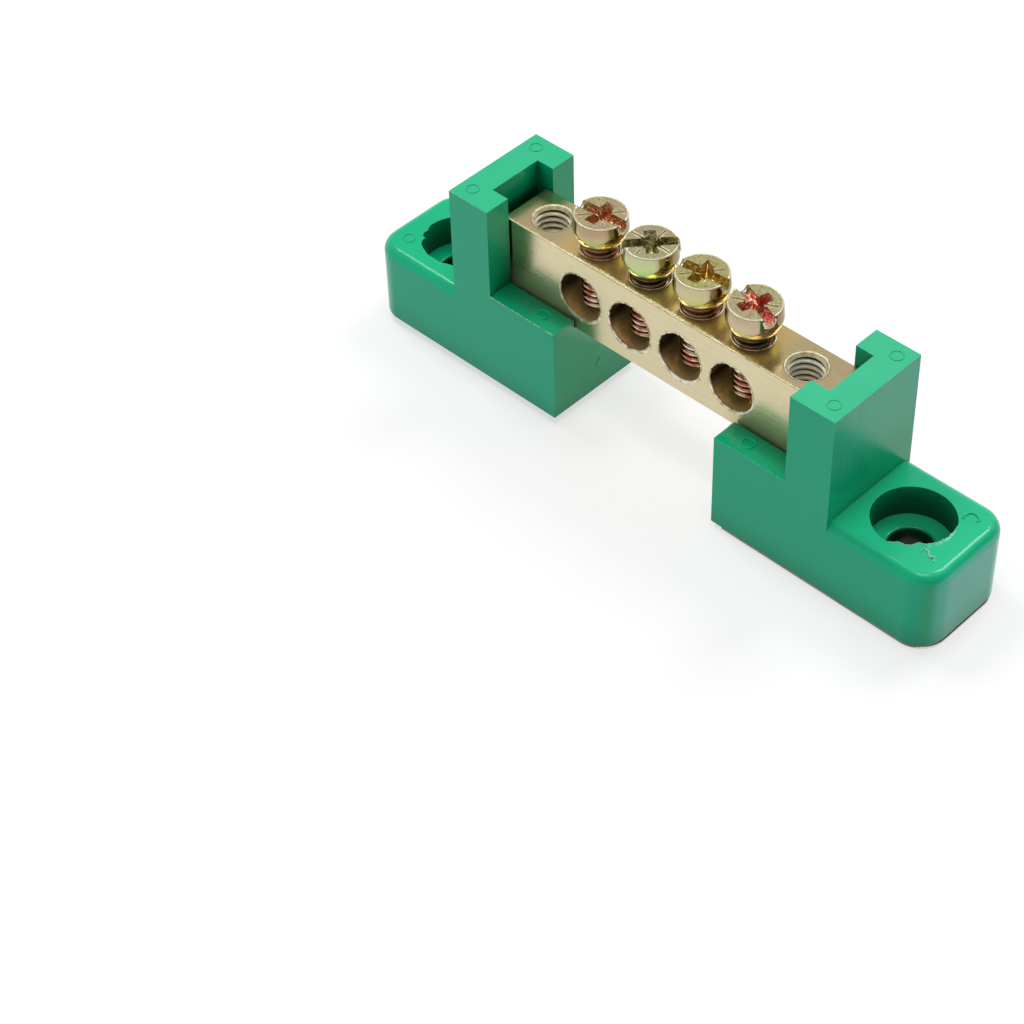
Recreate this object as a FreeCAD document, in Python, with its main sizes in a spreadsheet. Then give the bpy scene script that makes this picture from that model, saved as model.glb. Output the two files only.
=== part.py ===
import FreeCAD, Part
import os
import Sketcher
from FreeCAD import Placement, Rotation, Vector

# Earth terminal bar: a drilled brass bar with clamp screws, carried by two moulded feet.
# X runs along the bar, Y across it, Z up. The origin is the middle of the base.

# Driving sizes in millimetres
SIZES = [
    ("bar_end", "10.15"),
    ("bar_wide", "6.0"),
    ("bar_high", "9.0"),
    ("wire_count", "4"),
    ("wire_pitch", "6.5"),
    ("wire_dia", "5.5"),
    ("wire_up", "4.4"),
    ("tap_dia", "4.04"),
    ("tap_rim", "0.18"),
    ("tap_in", "3.7"),
    ("shank_dia", "3.9"),
    ("clamp_length", "7.65"),
    ("clamp_raise", "0.95"),
    ("head_dia", "5.7"),
    ("head_high", "3.15"),
    ("face_dia", "5.35"),
    ("belly_up", "1.6"),
    ("waist_dia", "5.0"),
    ("waist_up", "0.6"),
    ("head_edge", "0.12"),
    ("slot_wide", "1.15"),
    ("slot_deep", "1.0"),
    ("cross_arm", "1.75"),
    ("cross_wide", "1.2"),
    ("cross_deep", "1.9"),
    ("cross_foot", "0.55"),
    ("flare_side", "2.2"),
    ("tick_reach", "2.2"),
    ("tick_wide", "0.11"),
    ("tick_deep", "0.1"),
    ("tip_bevel", "0.45"),
    ("point_dia", "2.8"),
    ("bar_gap", "1.4"),
    ("foot_wide", "12.4"),
    ("block_length", "8.7"),
    ("block_high", "11.3"),
    ("groove_deep", "1.0"),
    ("channel_wide", "6.4"),
    ("arm_length", "2.1"),
    ("wall_thick", "3.1"),
    ("post_high", "22.0"),
    ("pad_length", "12.2"),
    ("pad_high", "9.1"),
    ("pad_corner", "3.0"),
    ("pad_round", "1.2"),
    ("mount_out", "5.3"),
    ("mount_dia", "4.5"),
    ("mount_rim", "0.25"),
    ("seat_dia", "8.2"),
    ("seat_deep", "3.6"),
    ("recess_dia", "7.4"),
    ("recess_deep", "4.3"),
    ("clear_dia", "4.4"),
    ("fix_length", "10.0"),
    ("fix_head_dia", "7.0"),
    ("fix_head_high", "2.4"),
    ("fix_bevel", "0.85"),
    ("drive_arm", "1.9"),
    ("drive_wide", "0.9"),
    ("drive_deep", "1.3"),
    ("strip_thick", "0.4"),
    ("strip_wide", "12.0"),
    ("strip_cut", "1.2"),
    ("strip_corner", "3.0"),
    ("tab_wide", "6.1"),
    ("tab_gap", "0.5"),
    ("leg_short", "0.4"),
    ("tab_root", "1.5"),
    ("cut_over", "1.0"),
]

# Sizes that follow from the driving ones
DERIVED = [
    ("wire_span", "=wire_pitch * (wire_count - 1)"),
    ("wire_first", "=wire_span / 2"),
    ("bar_length", "=wire_span + bar_end * 2"),
    ("bar_half", "=bar_length / 2"),
    ("bar_side", "=bar_wide / 2"),
    ("wire_radius", "=wire_dia / 2"),
    ("tap_out", "=bar_half - tap_in"),
    ("tap_radius", "=tap_dia / 2"),
    ("tap_deep", "=bar_high - wire_up"),
    ("shank_radius", "=shank_dia / 2"),
    ("point_radius", "=point_dia / 2"),
    ("head_radius", "=head_dia / 2"),
    ("face_radius", "=face_dia / 2"),
    ("waist_radius", "=waist_dia / 2"),
    ("head_over", "=head_radius + cut_over"),
    ("slot_half", "=slot_wide / 2"),
    ("cross_half", "=cross_wide / 2"),
    ("cross_low", "=cross_arm * cross_foot"),
    ("cross_thin", "=cross_half * cross_foot"),
    ("cross_floor", "=head_high - cross_deep"),
    ("flare_half", "=flare_side / 2"),
    ("flare_low", "=flare_half * cross_foot"),
    ("tick_half", "=tick_wide / 2"),
    ("groove_floor", "=block_high - groove_deep"),
    ("wall_inner", "=block_length + arm_length"),
    ("foot_inner", "=bar_half + bar_gap - wall_inner"),
    ("post_outer", "=wall_inner + wall_thick"),
    ("foot_length", "=post_outer + pad_length"),
    ("foot_over", "=post_high + cut_over"),
    ("mount_at", "=post_outer + mount_out"),
    ("mount_radius", "=mount_dia / 2"),
    ("mount_edge", "=mount_radius + mount_rim"),
    ("seat_radius", "=seat_dia / 2"),
    ("seat_floor", "=pad_high - seat_deep"),
    ("seat_edge", "=seat_floor - mount_rim"),
    ("seat_over", "=pad_high + cut_over"),
    ("fix_at", "=tap_out - foot_inner"),
    ("recess_radius", "=recess_dia / 2"),
    ("clear_radius", "=clear_dia / 2"),
    ("groove_over", "=groove_floor + cut_over"),
    ("fix_head_radius", "=fix_head_dia / 2"),
    ("drive_half", "=drive_wide / 2"),
    ("tip_low", "=fix_length - tip_bevel"),
    ("tip_radius", "=shank_radius - tip_bevel"),
    ("clamp_low", "=clamp_length - tip_bevel"),
    ("strip_side", "=strip_wide / 2"),
    ("strip_shy", "=strip_side - strip_cut"),
    ("strip_end", "=foot_length"),
    ("tab_outer", "=tab_gap + strip_thick"),
    ("bend_outer", "=strip_thick * 2"),
    ("bend_inner", "=strip_thick"),
    ("leg_under", "=strip_thick + groove_floor"),
    ("leg_top", "=leg_under + strip_thick"),
    ("leg_end", "=bar_half - foot_inner - leg_short"),
    ("bar_under", "=leg_top"),
    ("bar_top", "=bar_under + bar_high"),
    ("left_up", "=bar_under - groove_floor"),
    ("clamp_seat", "=bar_top + clamp_raise"),
    ("left_fix_up", "=left_up + recess_deep"),
    ("right_fix_up", "=strip_thick + recess_deep"),
]

# Angle of each screwdriver slot from the bar's length, in degrees
SLOT_ANGLES = [3.0, 47.0, 6.0, -20.0]

doc = FreeCAD.newDocument("earth_terminal_bar")
sheet = doc.addObject("Spreadsheet::Sheet", "sizes")
for row, (alias, text) in enumerate(SIZES + DERIVED, start=1):
    sheet.set("A%d" % row, alias)
    sheet.set("B%d" % row, text)
    sheet.setAlias("B%d" % row, alias)
doc.recompute()


def value(name):
    """Number behind a signed size name."""
    if name == "0":
        return 0.0
    if name.startswith("-"):
        return -float(sheet.get(name[1:]))
    return float(sheet.get(name))


def term(name):
    """Expression behind a signed size name."""
    if name.startswith("-"):
        return "-sizes." + name[1:]
    return "sizes." + name


def bind(thing, prop, name):
    thing.setExpression(prop, term(name))


def new_body(label):
    body = doc.addObject("PartDesign::Body", label)
    body.Label = label
    return body


def plane_of(body, role):
    return [f for f in body.Origin.OriginFeatures if f.Role == role][0]


def new_sketch(body, name, role, lift=None, turn=0.0):
    """Sketch on an origin plane, lifted along its normal and turned in it."""
    sketch = body.newObject("Sketcher::SketchObject", name)
    sketch.AttachmentSupport = [(plane_of(body, role), "")]
    sketch.MapMode = "FlatFace"
    sketch.AttachmentOffset = Placement(Vector(0, 0, 0), Rotation(Vector(0, 0, 1), turn))
    if lift:
        bind(sketch, "AttachmentOffset.Base.z", lift)
    return sketch


def hold(sketch, geo, point, across, up):
    """Fix one sketch point by its two coordinates."""
    for kind, name, axis in (("DistanceX", across, -2), ("DistanceY", up, -1)):
        if name == "0":
            sketch.addConstraint(Sketcher.Constraint("PointOnObject", geo, point, axis))
        else:
            datum = Sketcher.Constraint(kind, -1, 1, geo, point, value(name))
            index = sketch.addConstraint(datum)
            sketch.setExpression("Constraints[%d]" % index, term(name))


def polygon(sketch, corners):
    """Closed outline through named corners."""
    spots = [Vector(value(across), value(up), 0) for across, up in corners]
    count = len(spots)
    first = sketch.GeometryCount
    for k in range(count):
        sketch.addGeometry(Part.LineSegment(spots[k], spots[(k + 1) % count]), False)
    for k in range(count):
        after = first + (k + 1) % count
        sketch.addConstraint(Sketcher.Constraint("Coincident", first + k, 2, after, 1))
    for k, (across, up) in enumerate(corners):
        hold(sketch, first + k, 1, across, up)


def box_outline(sketch, left, right, low, high):
    polygon(sketch, [(left, low), (right, low), (right, high), (left, high)])


def circle(sketch, across, up, radius):
    middle = Vector(value(across), value(up), 0)
    geo = sketch.addGeometry(Part.Circle(middle, Vector(0, 0, 1), value(radius)), False)
    hold(sketch, geo, 3, across, up)
    index = sketch.addConstraint(Sketcher.Constraint("Radius", geo, value(radius)))
    sketch.setExpression("Constraints[%d]" % index, term(radius))


def pad(body, name, sketch, length, both_sides=False):
    feature = body.newObject("PartDesign::Pad", name)
    feature.Profile = sketch
    feature.SideType = "Symmetric" if both_sides else "One side"
    bind(feature, "Length", length)
    doc.recompute()
    return feature


def cut(body, name, sketch, depth=None, both_sides=False, away=False):
    """Pocket that must take material away."""
    before = body.Shape.Volume
    feature = body.newObject("PartDesign::Pocket", name)
    feature.Profile = sketch
    feature.SideType = "Symmetric" if both_sides else "One side"
    feature.Reversed = away
    if depth:
        bind(feature, "Length", depth)
    else:
        feature.Type = "ThroughAll"
    doc.recompute()
    if body.Shape.Volume >= before:
        raise RuntimeError(name + " cut nothing")
    return feature


def turned(body, kind, name, sketch):
    """Revolution or Groove about the sketch's upright axis."""
    feature = body.newObject("PartDesign::" + kind, name)
    feature.Profile = sketch
    feature.ReferenceAxis = (sketch, ["V_Axis"])
    feature.Angle = 360.0
    doc.recompute()
    return feature


def repeat(body, name, feature, span, count):
    """Row of copies of one cut along X."""
    pattern = body.newObject("PartDesign::LinearPattern", name)
    pattern.Originals = [feature]
    pattern.Direction = (plane_of(body, "X_Axis"), [""])
    bind(pattern, "Length", span)
    bind(pattern, "Occurrences", count)
    body.Tip = pattern
    doc.recompute()
    return pattern


def dress(body, kind, name, size, wanted):
    """Fillet or Chamfer on the edges that answer a test."""
    source = body.Tip
    edges = enumerate(source.Shape.Edges, start=1)
    names = ["Edge%d" % number for number, edge in edges if wanted(edge)]
    if not names:
        raise RuntimeError(name + " found no edge")
    feature = body.newObject("PartDesign::" + kind, name)
    feature.Base = (source, names)
    bind(feature, "Radius" if kind == "Fillet" else "Size", size)
    body.Tip = feature
    doc.recompute()
    return feature


def near(one, other):
    return abs(one - other) < 1e-4


def middle_of(edge):
    return edge.valueAt((edge.FirstParameter + edge.LastParameter) / 2)


def is_round(edge, radius):
    return isinstance(edge.Curve, Part.Circle) and near(edge.Curve.Radius, value(radius))


# Brass bar: wire ways from the front, threaded holes from the top
bar = new_body("bus_bar")
outline = new_sketch(bar, "bar_outline", "YZ_Plane")
box_outline(outline, "-bar_side", "bar_side", "0", "bar_high")
pad(bar, "bar_stock", outline, "bar_length", both_sides=True)

way = new_sketch(bar, "wire_way", "XZ_Plane")
circle(way, "-wire_first", "wire_up", "wire_radius")
way_cut = cut(bar, "wire_way_cut", way, "bar_wide", both_sides=True)
repeat(bar, "wire_way_row", way_cut, "wire_span", "wire_count")

clamp_hole = new_sketch(bar, "clamp_hole", "XY_Plane", lift="bar_high")
circle(clamp_hole, "-wire_first", "0", "tap_radius")
clamp_cut = cut(bar, "clamp_hole_cut", clamp_hole, "tap_deep")
repeat(bar, "clamp_hole_row", clamp_cut, "wire_span", "wire_count")

end_holes = new_sketch(bar, "end_holes", "XY_Plane", lift="bar_high")
circle(end_holes, "-tap_out", "0", "tap_radius")
circle(end_holes, "tap_out", "0", "tap_radius")
cut(bar, "end_holes_cut", end_holes)


def end_rim(edge):
    spot = middle_of(edge)
    outer = abs(spot.x) > value("wire_first") + value("tap_dia")
    return outer and is_round(edge, "tap_radius") and near(spot.z, value("bar_high"))


dress(bar, "Chamfer", "tap_rims", "tap_rim", end_rim)
bind(bar, "Placement.Base.z", "bar_under")


def make_foot(label):
    """Moulded foot, inner end at X = 0, pad outwards, underside at Z = 0."""
    body = new_body(label)
    side = new_sketch(body, label + "_side", "XZ_Plane")
    polygon(side, [
        ("0", "0"),
        ("foot_length", "0"),
        ("foot_length", "pad_high"),
        ("post_outer", "pad_high"),
        ("post_outer", "post_high"),
        ("block_length", "post_high"),
        ("block_length", "block_high"),
        ("0", "block_high"),
    ])
    pad(body, label + "_mass", side, "foot_wide", both_sides=True)

    channel = new_sketch(body, label + "_channel", "XZ_Plane")
    box_outline(channel, "0", "wall_inner", "groove_floor", "foot_over")
    cut(body, label + "_channel_cut", channel, "channel_wide", both_sides=True)

    def pad_corner(edge):
        spot = middle_of(edge)
        upright = isinstance(edge.Curve, Part.Line) and near(abs(edge.tangentAt(0).z), 1)
        return upright and near(spot.x, value("foot_length"))

    dress(body, "Fillet", label + "_corners", "pad_corner", pad_corner)

    def pad_top(edge):
        ends = [vertex.Point for vertex in edge.Vertexes]
        flat = all(near(point.z, value("pad_high")) for point in ends)
        return flat and middle_of(edge).x > value("post_outer") + 0.01

    dress(body, "Fillet", label + "_top", "pad_round", pad_top)

    seat = new_sketch(body, label + "_seat", "XZ_Plane")
    bind(seat, "AttachmentOffset.Base.x", "mount_at")
    polygon(seat, [
        ("0", "0"),
        ("mount_radius", "0"),
        ("mount_radius", "seat_edge"),
        ("mount_edge", "seat_floor"),
        ("seat_radius", "seat_floor"),
        ("seat_radius", "seat_over"),
        ("0", "seat_over"),
    ])
    turned(body, "Groove", label + "_seat_cut", seat)

    recess = new_sketch(body, label + "_recess", "XZ_Plane")
    bind(recess, "AttachmentOffset.Base.x", "fix_at")
    polygon(recess, [
        ("0", "0"),
        ("recess_radius", "0"),
        ("recess_radius", "recess_deep"),
        ("clear_radius", "recess_deep"),
        ("clear_radius", "groove_over"),
        ("0", "groove_over"),
    ])
    turned(body, "Groove", label + "_recess_cut", recess)
    return body


foot_left = make_foot("foot_left")
foot_left.Placement = Placement(Vector(0, 0, 0), Rotation(Vector(0, 0, 1), 180))
bind(foot_left, "Placement.Base.x", "-foot_inner")
bind(foot_left, "Placement.Base.z", "left_up")
foot_right = make_foot("foot_right")
bind(foot_right, "Placement.Base.x", "foot_inner")
bind(foot_right, "Placement.Base.z", "strip_thick")

# Folded earthing strip around the inner end of one foot
strip = new_body("earth_strip")
fold = new_sketch(strip, "strip_fold", "XZ_Plane")
polygon(fold, [
    ("tab_root", "0"),
    ("-tab_outer", "0"),
    ("-tab_outer", "leg_top"),
    ("leg_end", "leg_top"),
    ("leg_end", "leg_under"),
    ("-tab_gap", "leg_under"),
    ("-tab_gap", "strip_thick"),
    ("tab_root", "strip_thick"),
])
pad(strip, "strip_tab", fold, "tab_wide", both_sides=True)


def outer_bend(edge):
    spot = middle_of(edge)
    return near(spot.x, value("-tab_outer")) and near(spot.y, 0)


def inner_bend(edge):
    spot = middle_of(edge)
    return near(spot.x, value("-tab_gap")) and near(spot.y, 0)


dress(strip, "Fillet", "strip_outer_bends", "bend_outer", outer_bend)
dress(strip, "Fillet", "strip_inner_bends", "bend_inner", inner_bend)

base = new_sketch(strip, "strip_base", "XY_Plane")
polygon(base, [
    ("0", "-strip_shy"),
    ("strip_cut", "-strip_side"),
    ("strip_end", "-strip_side"),
    ("strip_end", "strip_side"),
    ("strip_cut", "strip_side"),
    ("0", "strip_shy"),
])
pad(strip, "strip_base_leg", base, "strip_thick")


def strip_corner(edge):
    upright = isinstance(edge.Curve, Part.Line) and near(abs(edge.tangentAt(0).z), 1)
    return upright and near(middle_of(edge).x, value("strip_end"))


dress(strip, "Fillet", "strip_corners", "strip_corner", strip_corner)
low_holes = new_sketch(strip, "strip_low_holes", "XY_Plane", lift="strip_thick")
circle(low_holes, "mount_at", "0", "mount_edge")
circle(low_holes, "fix_at", "0", "recess_radius")
cut(strip, "strip_low_cut", low_holes, "strip_thick")
high_hole = new_sketch(strip, "strip_high_hole", "XY_Plane", lift="leg_top")
circle(high_hole, "fix_at", "0", "clear_radius")
cut(strip, "strip_high_cut", high_hole, "strip_thick")
bind(strip, "Placement.Base.x", "foot_inner")


def cross_outline(sketch, arm, half):
    polygon(sketch, [
        (arm, "-" + half),
        (arm, half),
        (half, half),
        (half, arm),
        ("-" + half, arm),
        ("-" + half, half),
        ("-" + arm, half),
        ("-" + arm, "-" + half),
        ("-" + half, "-" + half),
        ("-" + half, "-" + arm),
        (half, "-" + arm),
        (half, "-" + half),
    ])


def sink(body, name, upper, lower):
    """Tapered recess between two outlines."""
    before = body.Shape.Volume
    feature = body.newObject("PartDesign::SubtractiveLoft", name)
    feature.Profile = upper
    feature.Sections = [lower]
    feature.Ruled = True
    doc.recompute()
    if body.Shape.Volume >= before:
        raise RuntimeError(name + " cut nothing")


def make_clamp_screw(label):
    """Clamp screw, underside of the head at Z = 0, shank downwards."""
    body = new_body(label)
    profile = new_sketch(body, label + "_profile", "XZ_Plane")
    polygon(profile, [
        ("0", "-clamp_length"),
        ("point_radius", "-clamp_length"),
        ("shank_radius", "-clamp_low"),
        ("shank_radius", "0"),
        ("waist_radius", "waist_up"),
        ("head_radius", "belly_up"),
        ("face_radius", "head_high"),
        ("0", "head_high"),
    ])
    turned(body, "Revolution", label + "_blank", profile)

    def face_rim(edge):
        return is_round(edge, "face_radius") and near(middle_of(edge).z, value("head_high"))

    dress(body, "Chamfer", label + "_edge", "head_edge", face_rim)

    # Driver recess: tapered cross, turned square between its arms, slot right across
    upper = new_sketch(body, label + "_cross_upper", "XY_Plane", lift="head_high")
    cross_outline(upper, "cross_arm", "cross_half")
    lower = new_sketch(body, label + "_cross_lower", "XY_Plane", lift="cross_floor")
    cross_outline(lower, "cross_low", "cross_thin")
    sink(body, label + "_cross", upper, lower)
    wide = new_sketch(body, label + "_flare_upper", "XY_Plane", lift="head_high", turn=45.0)
    box_outline(wide, "-flare_half", "flare_half", "-flare_half", "flare_half")
    slim = new_sketch(body, label + "_flare_lower", "XY_Plane", lift="cross_floor", turn=45.0)
    box_outline(slim, "-flare_low", "flare_low", "-flare_low", "flare_low")
    sink(body, label + "_flare", wide, slim)
    slot = new_sketch(body, label + "_slot", "XY_Plane", lift="head_high")
    box_outline(slot, "-head_over", "head_over", "-slot_half", "slot_half")
    cut(body, label + "_slot_cut", slot, "slot_deep")
    for number, turn in enumerate((45.0, 135.0), start=1):
        name = "%s_tick_%d" % (label, number)
        tick = new_sketch(body, name, "XY_Plane", lift="head_high", turn=turn)
        box_outline(tick, "-tick_reach", "tick_reach", "-tick_half", "tick_half")
        cut(body, name + "_cut", tick, "tick_deep")
    return body


for place in range(int(value("wire_count"))):
    screw = make_clamp_screw("clamp_screw_%d" % (place + 1))
    angle = SLOT_ANGLES[place % len(SLOT_ANGLES)]
    screw.Placement = Placement(Vector(0, 0, 0), Rotation(Vector(0, 0, 1), angle))
    along = "%d * sizes.wire_pitch - sizes.wire_first" % place
    screw.setExpression("Placement.Base.x", along)
    bind(screw, "Placement.Base.z", "clamp_seat")


def make_fixing_screw(label):
    """Screw that holds a foot to the bar, bearing face at Z = 0, shank upwards."""
    body = new_body(label)
    profile = new_sketch(body, label + "_profile", "XZ_Plane")
    polygon(profile, [
        ("0", "-fix_head_high"),
        ("fix_head_radius", "-fix_head_high"),
        ("fix_head_radius", "0"),
        ("shank_radius", "0"),
        ("shank_radius", "tip_low"),
        ("tip_radius", "fix_length"),
        ("0", "fix_length"),
    ])
    turned(body, "Revolution", label + "_blank", profile)

    def head_face(edge):
        low = near(middle_of(edge).z, value("-fix_head_high"))
        return is_round(edge, "fix_head_radius") and low

    dress(body, "Chamfer", label + "_pan", "fix_bevel", head_face)
    drive = new_sketch(body, label + "_drive", "XY_Plane", lift="-fix_head_high")
    cross_outline(drive, "drive_arm", "drive_half")
    cut(body, label + "_drive_cut", drive, "drive_deep", away=True)
    return body


fix_left = make_fixing_screw("foot_screw_left")
bind(fix_left, "Placement.Base.x", "-tap_out")
bind(fix_left, "Placement.Base.z", "left_fix_up")
fix_right = make_fixing_screw("foot_screw_right")
bind(fix_right, "Placement.Base.x", "tap_out")
bind(fix_right, "Placement.Base.z", "right_fix_up")
doc.recompute()

# Check every object, then write one file for each piece
for thing in doc.Objects:
    if "Invalid" in thing.State or "Error" in thing.State:
        raise RuntimeError("%s: %s" % (thing.Label, thing.State))
os.makedirs("parts", exist_ok=True)
for body in doc.Objects:
    if body.TypeId != "PartDesign::Body":
        continue
    shape = body.Shape
    if shape.isNull() or not shape.isValid() or len(shape.Solids) != 1:
        raise RuntimeError(body.Label + " is not one valid solid")
    shape.exportStep("parts/%s.step" % body.Label)
    box = shape.BoundBox
    print("%-18s %8.2f mm3  x %.2f..%.2f  y %.2f..%.2f  z %.2f..%.2f" % (
        body.Label, shape.Volume, box.XMin, box.XMax, box.YMin, box.YMax, box.ZMin, box.ZMax))
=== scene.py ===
import math
import random

import bmesh
import bpy
from mathutils import Matrix, Vector, noise


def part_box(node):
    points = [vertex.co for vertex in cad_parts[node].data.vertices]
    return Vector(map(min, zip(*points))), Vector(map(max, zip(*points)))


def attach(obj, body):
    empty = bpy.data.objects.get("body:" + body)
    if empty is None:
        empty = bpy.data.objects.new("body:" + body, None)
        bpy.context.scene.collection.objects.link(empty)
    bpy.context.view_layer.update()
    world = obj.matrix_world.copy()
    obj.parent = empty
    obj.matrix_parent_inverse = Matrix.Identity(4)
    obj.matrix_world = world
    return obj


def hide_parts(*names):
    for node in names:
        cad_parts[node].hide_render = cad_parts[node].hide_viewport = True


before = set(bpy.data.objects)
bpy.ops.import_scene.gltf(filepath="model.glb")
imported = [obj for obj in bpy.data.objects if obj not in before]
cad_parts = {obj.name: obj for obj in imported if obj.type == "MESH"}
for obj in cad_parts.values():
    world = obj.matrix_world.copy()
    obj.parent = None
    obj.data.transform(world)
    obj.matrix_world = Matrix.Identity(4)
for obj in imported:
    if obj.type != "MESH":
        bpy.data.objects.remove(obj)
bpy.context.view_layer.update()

# Seed of the roughness in the driver recesses, so that it is the same each time
NOISE_SEED = 1
noise.seed_set(NOISE_SEED)

# Sizes in metres
MM = 0.001
BAR = "bus_bar"
CLAMP_SCREWS = ["clamp_screw_1", "clamp_screw_2", "clamp_screw_3", "clamp_screw_4"]
ROOT = "terminal_body"
THREAD_PITCH = 0.7 * MM
THREAD_DEPTH = 0.36 * MM
SHANK_RADIUS = 1.95 * MM
TAP_RADIUS = 2.02 * MM
TAP_OUT = 16.2 * MM
TAP_DEEP = 4.7 * MM
WIRE_RADIUS = 2.75 * MM
WIRE_UP = 4.4 * MM
HEAD_HIGH = 3.15 * MM
FACE_RADIUS = 2.675 * MM
SEAT_RADIUS = 4.1 * MM
SEAT_OUT = 29.7 * MM
PAD_HIGH = 9.1 * MM
BLOCK_HIGH = 11.3 * MM
FOOT_HIGH = 22.0 * MM
MARK_RADIUS = 0.66 * MM
HOLE_RIM_RADIUS = 2.13 * MM
SLOT_HALF = 0.575 * MM
SLOT_DEEP = 1.0 * MM
SLOT_ANGLES = [3.0, 47.0, 6.0, -20.0]

# Stretches of the feet where the finish changes, each from no change to full change
RIGHT_HALF = (0.0, 1 * MM)
POST_FACE = (23 * MM, 24 * MM)
FOOT_END = (35.5 * MM, 36.4 * MM)
BASE_SHADE_LINE = (0.6 * MM, 0.5 * MM)
PAD_TOP = (10 * MM, 9.8 * MM)
POST_LINES = (9 * MM, 18 * MM)
POST_UPPER = (12 * MM, 18 * MM)
POST_TOP = (20 * MM, 21 * MM)

# How squarely a face looks along an axis, from no change to full change
SQUARE = (0.8, 0.95)
TURNED = (0.7, 0.95)


# Meshes
def solid_of(node):
    """Copy of a solid with its flat faces whole again."""
    bm = bmesh.new()
    bm.from_mesh(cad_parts[node].data)
    bmesh.ops.remove_doubles(bm, verts=bm.verts, dist=1e-7)
    bmesh.ops.dissolve_limit(bm, angle_limit=math.radians(0.4), verts=bm.verts, edges=bm.edges)
    return bm


def round_edges(bm, width, sharper=25.0, softer=180.0, steps=2, material=-1, wanted=None):
    """Bevel every edge that turns by an angle between two limits in degrees."""
    low, high = math.radians(sharper), math.radians(softer)
    edges = [e for e in bm.edges if e.is_manifold and low < e.calc_face_angle() < high]
    if wanted:
        edges = [e for e in edges if wanted(e)]
    bmesh.ops.bevel(
        bm, geom=edges, offset=width, offset_type="OFFSET", segments=steps,
        profile=0.5, affect="EDGES", clamp_overlap=True, material=material)


def add_piece(name, bm, materials, body, *replaced, sharp=40.0, weigh=False):
    """Turn a bmesh into a shaded piece that rides on a body."""
    mesh = bpy.data.meshes.new(name)
    bm.normal_update()
    bm.to_mesh(mesh)
    bm.free()
    mesh.polygons.foreach_set("use_smooth", [True] * len(mesh.polygons))
    mesh.set_sharp_from_angle(angle=math.radians(sharp))
    for material in materials:
        mesh.materials.append(material)
    piece = bpy.data.objects.new(name, mesh)
    bpy.context.scene.collection.objects.link(piece)
    if weigh:
        weights = piece.modifiers.new("face_weights", "WEIGHTED_NORMAL")
        weights.weight = 100
        weights.keep_sharp = True
    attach(piece, body)
    if replaced:
        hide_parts(*replaced)
    return piece


def skin(bm, rings, closed_rings=True, closed_row=False):
    """Quads between neighbouring rings of points."""
    rows = [[bm.verts.new(point) for point in ring] for ring in rings]
    count = len(rows[0])
    for one, two in zip(rows, rows[1:] + rows[:1] if closed_row else rows[1:]):
        for k in range(count if closed_rings else count - 1):
            after = (k + 1) % count
            bm.faces.new((one[k], one[after], two[after], two[k]))
    return rows


def around(angle):
    """Level unit vector at an angle in radians."""
    return Vector((math.cos(angle), math.sin(angle), 0))


def section(origin, out, profile, radius=0.0):
    """Points of a profile of across and up values, outward from an origin."""
    return [origin + out * (radius + across) + Vector((0, 0, up)) for across, up in profile]


def lump(bm, centre, size, seed):
    """Small torn lump of metal or plastic."""
    dice = random.Random(seed)
    rings = []
    for j in range(6):
        tilt = math.pi * (j + 0.5) / 6
        ring = []
        for k in range(9):
            out = around(math.tau * k / 9) * math.sin(tilt) + Vector((0, 0, math.cos(tilt)))
            reach = dice.uniform(0.6, 1.15)
            ring.append(centre + Vector([a * b * reach for a, b in zip(out, size)]))
        rings.append(ring)
    rows = skin(bm, rings)
    bm.faces.new(reversed(rows[0]))
    bm.faces.new(rows[-1])


def thread_share(phase):
    """Height of the thread's ridge, 0 at the root and 1 at the crest."""
    slope = abs(phase % 1.0 - 0.5) * 2
    return 0.5 - 0.5 * math.cos(math.pi * min(1.0, max(0.0, (slope - 0.1) / 0.7)))


def thread_wall(centre, low, high, radius_of, count=64, steps=12):
    """Rings of a helical wall about an upright axis."""
    rows = int(round((high - low) / THREAD_PITCH * steps))
    rings = []
    for j in range(rows + 1):
        z = low + (high - low) * j / rows
        ring = []
        for k in range(count):
            turn = k / count
            reach = around(turn * math.tau) * radius_of(z, thread_share(z / THREAD_PITCH - turn))
            ring.append(Vector((centre.x + reach.x, centre.y + reach.y, z)))
        rings.append(ring)
    return rings


def box_middle(node):
    low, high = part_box(node)
    return (low + high) / 2


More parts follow.
